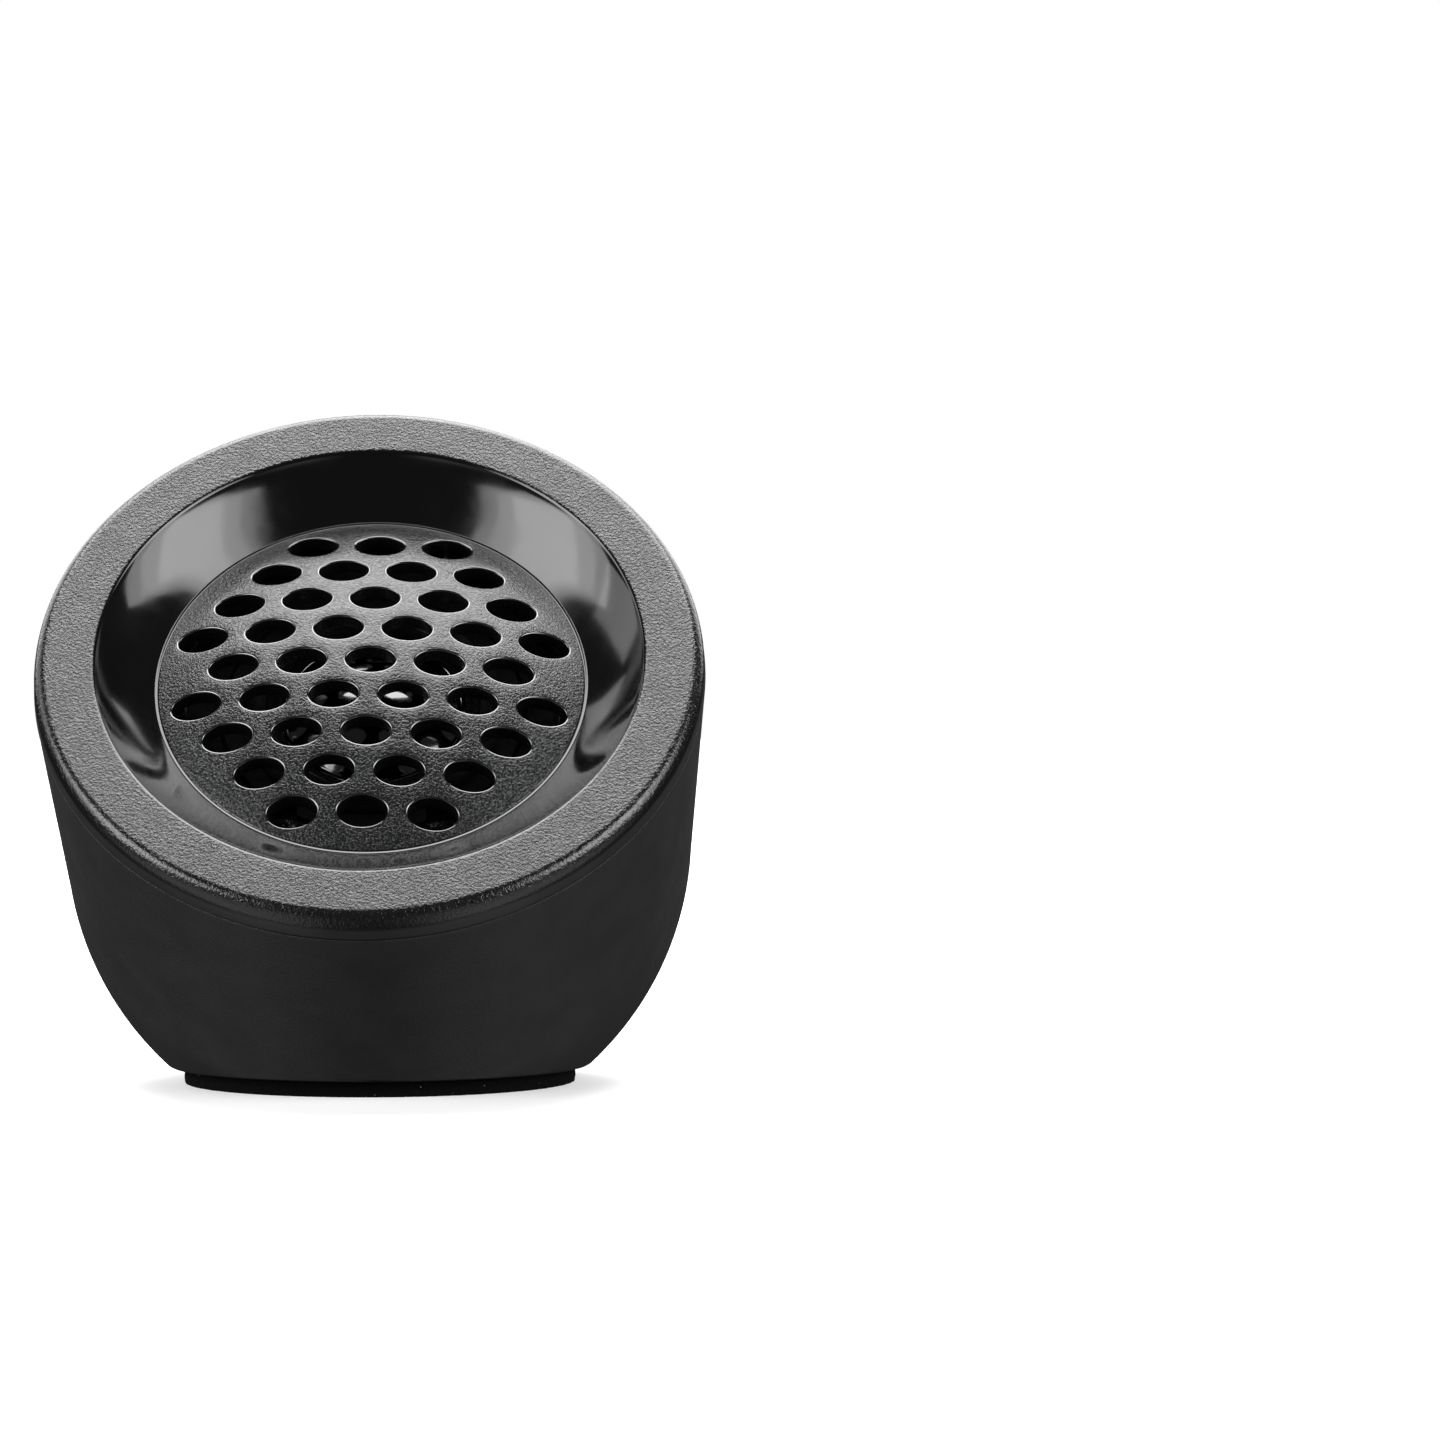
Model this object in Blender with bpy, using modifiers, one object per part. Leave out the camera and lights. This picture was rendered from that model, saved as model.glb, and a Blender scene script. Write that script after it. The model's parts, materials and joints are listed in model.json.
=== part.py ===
"""Car tweeter in a round surface-mount pod, modelled in metres with +Z up.

The origin is the centre of the foam foot.  The pod is turned about the face axis, which leans back
from the vertical foot plane, and ends in a ball that the foot plane cuts flat.  Heights called w are
measured along the face axis, outwards from the face plane, so everything inside has a negative w.
"""
import math

import bmesh
import bpy
from mathutils import Matrix, Vector

MM = 0.001
FULL_TURN = math.tau

# Driving dimensions of the pod.
FACE_ELEVATION = math.radians(39.5)     # the face axis above the horizontal
FACE_RADIUS = 25.0 * MM
BALL_DEPTH = 22.0 * MM                  # ball centre behind the face plane
BALL_RADIUS = 24.35 * MM
BALL_HEIGHT = 19.3 * MM                 # ball centre above the ground
WALL = 1.8 * MM
FOOT_PLANE = 1.2 * MM                   # underside of the shell above the ground
FLOOR = 2.0 * MM
SEAM_W = -2.2 * MM                      # lower edge of the bezel
SEAM_GAP = 0.3 * MM
FOAM_RADIUS = 15.3 * MM
FOAM_THICKNESS = 0.95 * MM

# Bezel: flat ring, rounded outer edge, conical glossy bowl and a skirt inside the shell.
LIP_RADIUS = 20.25 * MM
LIP_ROUND = 0.5 * MM
EDGE_ROUND = 1.2 * MM
EDGE_RADIUS = 24.9 * MM
BORE_RADIUS = 16.5 * MM
RIM_W = -3.7 * MM                       # grille rim
LEDGE_W = -4.7 * MM
LEDGE_RADIUS = 17.9 * MM
SKIRT_OUTER = 21.6 * MM
SKIRT_INNER = 20.2 * MM
SKIRT_W = -8.5 * MM
BOWL_WALL = 1.3 * MM

# Twist lock between the bezel skirt and the shell.
LUG_ANGLES = [math.radians(a) for a in (90, 210, 330)]
LUG_WIDTH = 6.0 * MM
LUG_OUTER = 22.5 * MM
LUG_W = (-6.7 * MM, -8.2 * MM)
TAB_INNER = 22.0 * MM
TAB_W = (-5.2 * MM, -6.4 * MM)
STOP_OFFSET = math.radians(-9.8)
STOP_WIDTH = 1.0 * MM
WALL_BITE = 23.7 * MM                   # how far tabs and stops reach into the shell's wall

# Grille: a shallow convex cap with oval holes in nine rows.
GRILLE_RADIUS = 16.2 * MM
GRILLE_RISE = 2.9 * MM
GRILLE_WALL = 1.2 * MM
GRILLE_FLANGE = 16.95 * MM
FLANGE_W = (-5.0 * MM, -5.6 * MM)
GRILLE_INNER = 15.0 * MM
GRILLE_CLOCKING = math.radians(-1.2)
HOLE_PITCH = 5.14 * MM
HOLE_ROW_PITCH = 3.23 * MM
HOLE_ROWS = (3, 4, 5, 6, 5, 6, 5, 4, 3)
HOLE_SIZE = (3.8 * MM, 2.5 * MM)

# Fixings of the driver.
BOSS_PITCH = 18.5 * MM
BOSS_RADIUS = 1.3 * MM
BOSS_W = -6.6 * MM
PILOT_RADIUS = 0.85 * MM
PILOT_TOP_W = -4.0 * MM
BOSS_ANGLES = [math.radians(a) for a in (30, 150, 270)]

# Motor.
CUP_OUTER = 9.9 * MM
CUP_INNER = 7.6 * MM
CUP_W = (-9.0 * MM, -16.8 * MM)
CUP_FLOOR = 1.6 * MM
FORMER_RADII = (6.2 * MM, 6.4 * MM)
COIL_RADII = (6.6 * MM, 7.1 * MM)
DOME_RADIUS = 6.95 * MM
DOME_W = -7.0 * MM
DOME_RISE = 2.0 * MM

# Small board behind the motor.
BOARD_RADIUS = 10.0 * MM
BOARD_W = (-18.0 * MM, -19.2 * MM)
LEAD_ANGLES = {"positive": math.radians(-60), "negative": math.radians(-120)}
CAPACITOR_CENTRE = Vector((0.0, 3.5 * MM, -22.1 * MM))
CAPACITOR_RADIUS = 2.5 * MM
CAPACITOR_LENGTH = 9.0 * MM

# Cable gland, square to the ball at the back of the pod.
GLAND_ELEVATION = math.radians(-15)
GLAND_BORE = 1.6 * MM
GLAND_NECK = 2.9 * MM
GLAND_HOLE = 3.2 * MM
GLAND_FLANGE = 4.3 * MM

OUTER_STEPS = 64
INNER_STEPS = 28
SMALL_STEPS = 16

FACE_CENTRE = Vector((
    0.0,
    -BALL_DEPTH * math.cos(FACE_ELEVATION),
    BALL_HEIGHT + BALL_DEPTH * math.sin(FACE_ELEVATION),
))

MATERIALS = {
    # name: colour, roughness, metallic
    "moulded_black": ((0.022, 0.022, 0.023), 0.55, 0.0),
    "bezel_black": ((0.05, 0.05, 0.052), 0.45, 0.0),
    "foam_black": ((0.006, 0.006, 0.006), 0.95, 0.0),
    "rubber_black": ((0.015, 0.015, 0.015), 0.8, 0.0),
    "frame_black": ((0.02, 0.02, 0.02), 0.4, 0.0),
    "film": ((0.03, 0.03, 0.032), 0.12, 0.0),
    "surround_film": ((0.015, 0.015, 0.015), 0.3, 0.0),
    "former_alu": ((0.8, 0.8, 0.8), 0.35, 1.0),
    "winding": ((0.75, 0.35, 0.15), 0.3, 1.0),
    "zinc_steel": ((0.6, 0.62, 0.64), 0.35, 1.0),
    "magnet_nickel": ((0.5, 0.5, 0.5), 0.25, 1.0),
    "felt": ((0.03, 0.03, 0.03), 1.0, 0.0),
    "brass": ((0.8, 0.6, 0.25), 0.35, 1.0),
    "board": ((0.03, 0.14, 0.06), 0.5, 0.0),
    "tape": ((0.75, 0.75, 0.72), 0.9, 0.0),
    "sleeve": ((0.02, 0.03, 0.08), 0.35, 0.0),
    "wire_red": ((0.45, 0.02, 0.02), 0.45, 0.0),
    "wire_black": ((0.02, 0.02, 0.02), 0.45, 0.0),
}


def clear_scene():
    for obj in list(bpy.data.objects):
        bpy.data.objects.remove(obj, do_unlink=True)


def make_collection(name):
    collection = bpy.data.collections.new(name)
    bpy.context.scene.collection.children.link(collection)
    return collection


def make_materials():
    for name, (colour, roughness, metallic) in MATERIALS.items():
        material = bpy.data.materials.new(name)
        material.use_nodes = True
        shader = material.node_tree.nodes["Principled BSDF"]
        shader.inputs["Base Color"].default_value = (*colour, 1.0)
        shader.inputs["Roughness"].default_value = roughness
        shader.inputs["Metallic"].default_value = metallic


def make_axis(name, location, rotation):
    axis = bpy.data.objects.new(name, None)
    axis.empty_display_size = 10 * MM
    axis.location = location
    axis.rotation_euler = rotation
    PARTS.objects.link(axis)
    return axis


def place(name, data, collection, parent=None, material=None):
    obj = bpy.data.objects.new(name, data)
    collection.objects.link(obj)
    obj.parent = parent
    if material:
        data.materials.append(bpy.data.materials[material])
    if collection is TOOLS:
        obj.hide_render = True
        obj.display_type = "WIRE"
    return obj


def turned(name, profile, material, parent, steps=INNER_STEPS, collection=None):
    """Turn (radius, w) points about the parent's Z.  A profile that starts off the axis is a closed ring."""
    mesh = bpy.data.meshes.new(name)
    points = [(radius, 0.0, w) for radius, w in profile]
    edges = [(i, i + 1) for i in range(len(points) - 1)]
    if profile[0][0] > 0.0:
        edges.append((len(points) - 1, 0))
    mesh.from_pydata(points, edges, [])
    obj = place(name, mesh, collection or PARTS, parent, material)
    screw = obj.modifiers.new("Turn", "SCREW")
    screw.axis = "Z"
    screw.angle = FULL_TURN
    screw.steps = steps
    screw.render_steps = steps
    screw.use_merge_vertices = True
    screw.merge_threshold = 0.01 * MM
    screw.use_smooth_shade = False
    return obj


def mesh_object(name, build, material, parent, collection=None):
    """Make an object from a bmesh that build(bm) fills with primitives."""
    mesh = bpy.data.meshes.new(name)
    bm = bmesh.new()
    build(bm)
    bm.to_mesh(mesh)
    bm.free()
    return place(name, mesh, collection or PARTS, parent, material)


def add_box(bm, centre, size, turn=0.0):
    """A box of the given size, moved to centre and then turned about Z."""
    matrix = Matrix.Rotation(turn, 4, "Z") @ Matrix.Translation(centre) @ Matrix.Diagonal((*size, 1.0))
    bmesh.ops.create_cube(bm, size=1.0, matrix=matrix)


def add_cylinder(bm, centre, radius, depth, segments=SMALL_STEPS, turn=0.0, radius_top=None, oval=1.0):
    """A cylinder along Z; oval squeezes it in Y, and turn then swings it about Z."""
    matrix = Matrix.Rotation(turn, 4, "Z") @ Matrix.Translation(centre) @ Matrix.Diagonal((1.0, oval, 1.0, 1.0))
    bmesh.ops.create_cone(bm, cap_ends=True, segments=segments, radius1=radius,
                          radius2=radius if radius_top is None else radius_top, depth=depth, matrix=matrix)


def apply_boolean(obj, operation, tool):
    modifier = obj.modifiers.new(tool.name, "BOOLEAN")
    modifier.operation = operation
    modifier.object = tool


def wire(name, points, radius, material, parent):
    curve = bpy.data.curves.new(name, "CURVE")
    curve.dimensions = "3D"
    curve.bevel_depth = radius
    curve.bevel_resolution = 2
    curve.use_fill_caps = True
    spline = curve.splines.new("POLY")
    spline.points.add(len(points) - 1)
    for point, position in zip(spline.points, points):
        point.co = (*position, 1.0)
    return place(name, curve, PARTS, parent, material)


def arc(centre, radius, start, end, count):
    """Points on an arc in the profile plane; angles from the outward radius, counter-clockwise."""
    return [
        (centre[0] + radius * math.cos(start + (end - start) * i / count),
         centre[1] + radius * math.sin(start + (end - start) * i / count))
        for i in range(count + 1)
    ]


def around(radius, angle, w):
    return Vector((radius * math.cos(angle), radius * math.sin(angle), w))


def smooth_route(corners, per_span=4):
    """Catmull-Rom points through the corners of a wire's route."""
    ends = [corners[0] * 2 - corners[1]] + corners + [corners[-1] * 2 - corners[-2]]
    route = []
    for a, b, c, d in zip(ends, ends[1:], ends[2:], ends[3:]):
        for i in range(per_span):
            t = i / per_span
            route.append(0.5 * (2 * b + (c - a) * t + (2 * a - 5 * b + 4 * c - d) * t ** 2
                                + (3 * b - a - 3 * c + d) * t ** 3))
    return route + [corners[-1]]


# ---- pod ----------------------------------------------------------------------------------------

def pod_profile(top_w, inset, rings):
    """The turned outside of the pod, moved in by inset: a drafted wall and a ball."""
    rim = (FACE_RADIUS - inset, top_w)
    ball = arc((0.0, -BALL_DEPTH), BALL_RADIUS - inset, 0.0, -math.pi / 2, rings)
    ball[-1] = (0.0, ball[-1][1])
    return [(0.0, top_w), rim] + ball


def below(bm, height):
    """A block that reaches from far below the ground up to the given height."""
    depth = 40 * MM
    add_box(bm, Vector((0.0, 0.0, height - depth / 2)), (120 * MM, 120 * MM, depth))


def make_base_shell(axis):
    rim_w = SEAM_W - SEAM_GAP
    shell = turned("base_shell", pod_profile(rim_w, 0.0, 12), "moulded_black", axis, OUTER_STEPS)
    foot_cut = mesh_object("foot_cut", lambda bm: below(bm, FOOT_PLANE), None, None, TOOLS)
    floor_keep = mesh_object("floor_keep", lambda bm: below(bm, FOOT_PLANE + FLOOR), None, None, TOOLS)
    above_rim = 3 * MM
    cavity_profile = pod_profile(rim_w, WALL, 8)
    cavity_profile[0:1] = [(0.0, rim_w + above_rim), (cavity_profile[1][0], rim_w + above_rim)]
    cavity = turned("cavity_cut", cavity_profile, None, axis, OUTER_STEPS, TOOLS)
    apply_boolean(cavity, "DIFFERENCE", floor_keep)
    gland_cut = mesh_object(
        "gland_cut",
        lambda bm: add_cylinder(bm, Vector((0, 0, BALL_RADIUS)), GLAND_HOLE, 8 * MM, 24),
        None, GLAND_AXIS, TOOLS)

    def locks(bm):
        for angle in LUG_ANGLES:
            tab_mid = (TAB_INNER + WALL_BITE) / 2
            add_box(bm, Vector((tab_mid, 0.0, sum(TAB_W) / 2)),
                    (WALL_BITE - TAB_INNER, LUG_WIDTH, TAB_W[0] - TAB_W[1]), angle)
            add_box(bm, Vector((tab_mid, 0.0, sum(LUG_W) / 2)),
                    (WALL_BITE - TAB_INNER, STOP_WIDTH, LUG_W[0] - LUG_W[1]), angle + STOP_OFFSET)

    lock_parts = mesh_object("lock_parts", locks, None, axis, TOOLS)
    apply_boolean(shell, "DIFFERENCE", foot_cut)
    apply_boolean(shell, "DIFFERENCE", cavity)
    apply_boolean(shell, "DIFFERENCE", gland_cut)
    apply_boolean(shell, "UNION", lock_parts)


def make_foam_pad():
    def disc(bm):
        add_cylinder(bm, Vector((0, 0, FOAM_THICKNESS / 2)), FOAM_RADIUS, FOAM_THICKNESS, OUTER_STEPS)

    mesh_object("foam_pad", disc, "foam_black", None)


def make_cable_gland():
    """Rubber gland turned about its own axis, with a groove for the shell's wall.

    The underside of its flange follows the ball at an even gap.
    """
    top = BALL_RADIUS + 1.6 * MM
    inside = BALL_RADIUS - WALL - 0.5 * MM
    seat = [(radius, math.sqrt(BALL_RADIUS ** 2 - radius ** 2) + 0.31 * MM)
            for radius in (GLAND_FLANGE, (GLAND_FLANGE + GLAND_NECK) / 2, GLAND_NECK)]
    profile = [(GLAND_BORE, top), (GLAND_BORE + 1.2 * MM, top), (GLAND_FLANGE, top - 0.7 * MM)] + seat + [
        (GLAND_NECK, inside), (3.9 * MM, inside), (3.3 * MM, inside - 1.4 * MM),
        (GLAND_BORE, inside - 1.4 * MM),
    ]
    turned("cable_gland", profile, "rubber_black", GLAND_AXIS, 24)


# ---- head ---------------------------------------------------------------------------------------

def bezel_profile():
    """Closed profile: round lip, flat face, rounded edge, seam, skirt, back of the bowl, bore."""
    lip = arc((LIP_RADIUS + LIP_ROUND, -LIP_ROUND), LIP_ROUND, math.pi, math.pi / 2, 3)
    edge = arc((EDGE_RADIUS - EDGE_ROUND, -EDGE_ROUND), EDGE_ROUND, math.pi / 2, 0.0, 5)
    slope = Vector((LIP_RADIUS - BORE_RADIUS, -LIP_ROUND - RIM_W)).normalized()
    back = Vector((slope.y, -slope.x)) * BOWL_WALL
    back_top = Vector((LIP_RADIUS, -LIP_ROUND)) + back
    skirt_top_w = back_top.y - (back_top.x - SKIRT_INNER) * slope.y / slope.x
    ledge_top_w = back_top.y - (back_top.x - LEDGE_RADIUS) * slope.y / slope.x
    return lip + edge + [
        (FACE_RADIUS, SEAM_W), (SKIRT_OUTER, SEAM_W), (SKIRT_OUTER, SKIRT_W), (SKIRT_INNER, SKIRT_W),
        (SKIRT_INNER, skirt_top_w), (LEDGE_RADIUS, ledge_top_w), (LEDGE_RADIUS, LEDGE_W),
        (BORE_RADIUS, LEDGE_W), (BORE_RADIUS, RIM_W),
    ]


def make_bezel_ring(axis):
    bezel = turned("bezel_ring", bezel_profile(), "bezel_black", axis, OUTER_STEPS)
    boss_top_w = -3.2 * MM
    lug_root = SKIRT_INNER + 0.5 * MM

    def additions(bm):
        for angle in BOSS_ANGLES:
            add_cylinder(bm, Vector((BOSS_PITCH, 0.0, (BOSS_W + boss_top_w) / 2)), BOSS_RADIUS,
                         boss_top_w - BOSS_W, turn=angle)
        for angle in LUG_ANGLES:
            add_box(bm, Vector(((LUG_OUTER + lug_root) / 2, 0.0, sum(LUG_W) / 2)),
                    (LUG_OUTER - lug_root, LUG_WIDTH, LUG_W[0] - LUG_W[1]), angle)

    def pilots(bm):
        depth = 4 * MM
        for angle in BOSS_ANGLES:
            add_cylinder(bm, Vector((BOSS_PITCH, 0.0, PILOT_TOP_W - depth / 2)), PILOT_RADIUS, depth, 12, angle)

    apply_boolean(bezel, "UNION", mesh_object("bezel_additions", additions, None, axis, TOOLS))
    apply_boolean(bezel, "DIFFERENCE", mesh_object("bezel_pilots", pilots, None, axis, TOOLS))


def cap_height(radius, curve_radius, apex_w):
    return apex_w - curve_radius + math.sqrt(curve_radius ** 2 - radius ** 2)


def make_grille(axis):
    apex_w = RIM_W + GRILLE_RISE
    curve_radius = (GRILLE_RADIUS ** 2 + GRILLE_RISE ** 2) / (2 * GRILLE_RISE)
    rings = 4
    outside = [(GRILLE_RADIUS * i / rings, cap_height(GRILLE_RADIUS * i / rings, curve_radius, apex_w))
               for i in range(rings + 1)]
    inside = [(GRILLE_INNER * i / rings,
               cap_height(GRILLE_INNER * i / rings, curve_radius - GRILLE_WALL, apex_w - GRILLE_WALL))
              for i in range(rings, -1, -1)]
    flange = [(GRILLE_RADIUS, FLANGE_W[0]), (GRILLE_FLANGE, FLANGE_W[0]),
              (GRILLE_FLANGE, FLANGE_W[1]), (GRILLE_INNER, FLANGE_W[1])]
    grille = turned("grille", outside + flange + inside, "bezel_black", axis, 48)

    def holes(bm):
        width, height = HOLE_SIZE
        for row, count in enumerate(HOLE_ROWS):
            y = (row - (len(HOLE_ROWS) - 1) / 2) * HOLE_ROW_PITCH
            for i in range(count):
                x = (i - (count - 1) / 2) * HOLE_PITCH
                add_cylinder(bm, Vector((x, y, -3.0 * MM)), width / 2, 8 * MM, 12,
                             turn=GRILLE_CLOCKING, oval=height / width)

    apply_boolean(grille, "DIFFERENCE", mesh_object("grille_holes", holes, None, axis, TOOLS))


def make_driver_frame(axis):
    """Moulded ring that carries the diaphragm in front and the motor in its sleeve behind."""
    profile = [
        (14.2 * MM, -6.6 * MM), (16.9 * MM, -6.6 * MM), (16.9 * MM, -6.9 * MM), (19.8 * MM, -6.9 * MM),
        (19.8 * MM, -8.2 * MM), (12.2 * MM, -8.2 * MM), (12.2 * MM, -12.5 * MM), (10.2 * MM, -12.5 * MM),
        (10.2 * MM, -8.3 * MM), (8.8 * MM, -8.3 * MM), (8.8 * MM, -7.6 * MM), (11.6 * MM, -7.6 * MM),
        (11.6 * MM, -7.2 * MM),
    ]
    frame = turned("driver_frame", profile, "frame_black", axis, 48)

    def cuts(bm):
        for angle in BOSS_ANGLES:
            add_cylinder(bm, Vector((BOSS_PITCH, 0.0, -7.5 * MM)), PILOT_RADIUS, 3 * MM, 12, angle)
        for angle in LEAD_ANGLES.values():
            add_box(bm, Vector((11.2 * MM, 0.0, -8.75 * MM)), (3 * MM, 0.9 * MM, 1.0 * MM), angle)

    apply_boolean(frame, "DIFFERENCE", mesh_object("frame_cuts", cuts, None, axis, TOOLS))


def make_driver_screws(axis):
    head_w, tip_w = -8.4 * MM, -4.4 * MM
    profile = [(0.0, tip_w), (0.4 * MM, tip_w), (0.55 * MM, tip_w - 0.5 * MM), (0.55 * MM, head_w),
               (1.2 * MM, head_w), (1.1 * MM, head_w - 0.6 * MM), (0.7 * MM, head_w - 0.8 * MM),
               (0.0, head_w - 0.8 * MM)]
    for number, angle in enumerate(BOSS_ANGLES, 1):
        screw_axis = make_axis(f"driver_screw_axis_{number}", around(BOSS_PITCH, angle, 0.0), (0, 0, 0))
        screw_axis.parent = axis
        turned(f"driver_screw_{number}", profile, "zinc_steel", screw_axis, 12)


def make_surround(axis):
    """Half-roll film ring between the dome's edge and the frame."""
    inner, middle, outer = 7.25 * MM, 8.7 * MM, 11.3 * MM
    roll, film = 1.2 * MM, 0.15 * MM
    top, low = -7.0 * MM, -7.3 * MM
    upper = arc((middle, top), roll, math.pi, 0.0, 6)
    lower = arc((middle, low), roll - film, 0.0, math.pi, 6)
    turned("surround", [(inner, top)] + upper + [(outer, top), (outer, low)] + lower + [(inner, low)],
           "surround_film", axis)


def make_motor(axis):
    cup_top, cup_bottom = CUP_W
    floor_w = cup_bottom + CUP_FLOOR
    turned("magnet_cup", [
        (0.0, floor_w), (CUP_INNER, floor_w), (CUP_INNER, cup_top), (CUP_OUTER, cup_top),
        (CUP_OUTER, cup_bottom + 0.5 * MM), (CUP_OUTER - 0.5 * MM, cup_bottom), (0.0, cup_bottom),
    ], "zinc_steel", axis)
    discs = (
        ("magnet", 5.5 * MM, -11.4 * MM, -15.0 * MM, "magnet_nickel"),
        ("pole_plate", 5.9 * MM, -9.6 * MM, -11.2 * MM, "zinc_steel"),
        ("pole_felt", 4.2 * MM, -8.3 * MM, -9.4 * MM, "felt"),
        ("board_tape", 6.0 * MM, -17.0 * MM, -17.8 * MM, "tape"),
    )
    for name, radius, top_w, bottom_w, material in discs:
        turned(name, [(0.0, top_w), (radius, top_w), (radius, bottom_w), (0.0, bottom_w)], material, axis)
    turned("seal_gasket", [
        (14.9 * MM, -5.8 * MM), (16.9 * MM, -5.8 * MM), (16.9 * MM, -6.3 * MM), (14.9 * MM, -6.3 * MM),
    ], "rubber_black", axis)


def make_diaphragm(axis):
    """Dome, former and winding: the pieces that travel along the face axis."""
    film = 0.3 * MM
    base = DOME_RADIUS - 0.25 * MM
    apex_w = DOME_W + DOME_RISE
    curve_radius = (base ** 2 + DOME_RISE ** 2) / (2 * DOME_RISE)
    rings = 4
    inner_base = base - film
    outside = [(base * i / rings, cap_height(base * i / rings, curve_radius, apex_w)) for i in range(rings + 1)]
    inside = [(inner_base * i / rings,
               cap_height(inner_base * i / rings, curve_radius - film, apex_w - film))
              for i in range(rings, -1, -1)]
    skirt = [(DOME_RADIUS, DOME_W), (DOME_RADIUS, DOME_W - film), (inner_base, DOME_W - film)]
    turned("dome", outside + skirt + inside, "film", axis)
    tubes = (
        ("coil_former", FORMER_RADII, -7.6 * MM, -11.2 * MM, "former_alu"),
        ("voice_coil", COIL_RADII, -9.3 * MM, -11.4 * MM, "winding"),
    )
    for name, (inner, outer), top_w, bottom_w, material in tubes:
        turned(name, [(inner, top_w), (outer, top_w), (outer, bottom_w), (inner, bottom_w)], material, axis)


def make_wiring(axis):
    """Coil leads, solder lugs on the frame, jumpers round the board's edge and the board's own tabs."""
    lead_w = -8.65 * MM
    for pole, angle in LEAD_ANGLES.items():
        wire(f"coil_lead_{pole}", [around(7.35 * MM, angle, lead_w), around(12.35 * MM, angle, lead_w)],
             0.15 * MM, "winding", axis)
        mesh_object(
            f"frame_lug_{pole}",
            lambda bm, angle=angle: add_box(bm, Vector((12.8 * MM, 0.0, -11.0 * MM)),
                                            (0.5 * MM, 1.6 * MM, 5.0 * MM), angle),
            "brass", axis)
        route = [(13.8, -10.2), (14.2, -13.5), (13.3, -18.0), (11.6, -20.6), (9.4, -20.9), (8.6, -19.9)]
        corners = [around(radius * MM, angle, w * MM) for radius, w in route]
        wire(f"jumper_{pole}", smooth_route(corners), 0.5 * MM,
             "wire_red" if pole == "positive" else "wire_black", axis)
        side = 1 if pole == "positive" else -1
        mesh_object(
            f"terminal_{pole}",
            lambda bm, side=side: add_box(bm, Vector((side * 2.8 * MM, -3.4 * MM, -22.5 * MM)),
                                          (2.8 * MM, 0.5 * MM, 6.2 * MM)),
            "brass", axis)


def make_board(axis):
    turned("crossover_board", [(0.0, BOARD_W[0]), (BOARD_RADIUS, BOARD_W[0]), (BOARD_RADIUS, BOARD_W[1]),
                               (0.0, BOARD_W[1])], "board", axis)
    can_axis = make_axis("capacitor_axis", CAPACITOR_CENTRE, (0, math.radians(90), 0))
    can_axis.parent = axis
    half = CAPACITOR_LENGTH / 2
    sleeve_half = half - 0.4 * MM
    turned("capacitor_can", [
        (0.0, half), (CAPACITOR_RADIUS - 0.3 * MM, half), (CAPACITOR_RADIUS - 0.1 * MM, half - 0.3 * MM),
        (CAPACITOR_RADIUS - 0.1 * MM, -half + 0.3 * MM), (CAPACITOR_RADIUS - 0.3 * MM, -half), (0.0, -half),
    ], "former_alu", can_axis, 24)
    turned("capacitor_sleeve", [
        (CAPACITOR_RADIUS, sleeve_half), (CAPACITOR_RADIUS + 0.15 * MM, sleeve_half),
        (CAPACITOR_RADIUS + 0.15 * MM, -sleeve_half), (CAPACITOR_RADIUS, -sleeve_half),
    ], "sleeve", can_axis, 24)
    for number, side in enumerate((-1, 1), 1):
        start = CAPACITOR_CENTRE + Vector((side * (half + 0.2 * MM), 0.0, 0.0))
        knee = start + Vector((side * 1.4 * MM, 0.0, 0.0))
        foot = Vector((knee.x + side * 0.4 * MM, knee.y, BOARD_W[1] - 0.3 * MM))
        wire(f"capacitor_lead_{number}", smooth_route([start, knee, foot]), 0.25 * MM, "zinc_steel", axis)


clear_scene()
PARTS = make_collection("car_tweeter")
TOOLS = make_collection("cutters")
make_materials()
FACE_TURN = (math.pi / 2 - FACE_ELEVATION, 0.0, 0.0)
pod_axis = make_axis("pod_axis", FACE_CENTRE, FACE_TURN)
head_axis = make_axis("head_axis", FACE_CENTRE, FACE_TURN)
GLAND_AXIS = make_axis("gland_axis", Vector((0.0, 0.0, BALL_HEIGHT)),
                       (GLAND_ELEVATION - math.pi / 2, 0.0, 0.0))

make_base_shell(pod_axis)
make_foam_pad()
make_cable_gland()
make_bezel_ring(head_axis)
make_grille(head_axis)
make_driver_frame(head_axis)
make_driver_screws(head_axis)
make_surround(head_axis)
make_motor(head_axis)
make_wiring(head_axis)
make_board(head_axis)
diaphragm_axis = make_axis("diaphragm_axis", Vector((0, 0, 0)), (0, 0, 0))
diaphragm_axis.parent = head_axis
make_diaphragm(diaphragm_axis)
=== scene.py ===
"""Looks of the car tweeter: fine moulded surfaces, procedural plastics, film and foam, and a soft studio."""
import json
import math

import bmesh
import bpy
from mathutils import Matrix, Vector, geometry, noise


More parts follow.
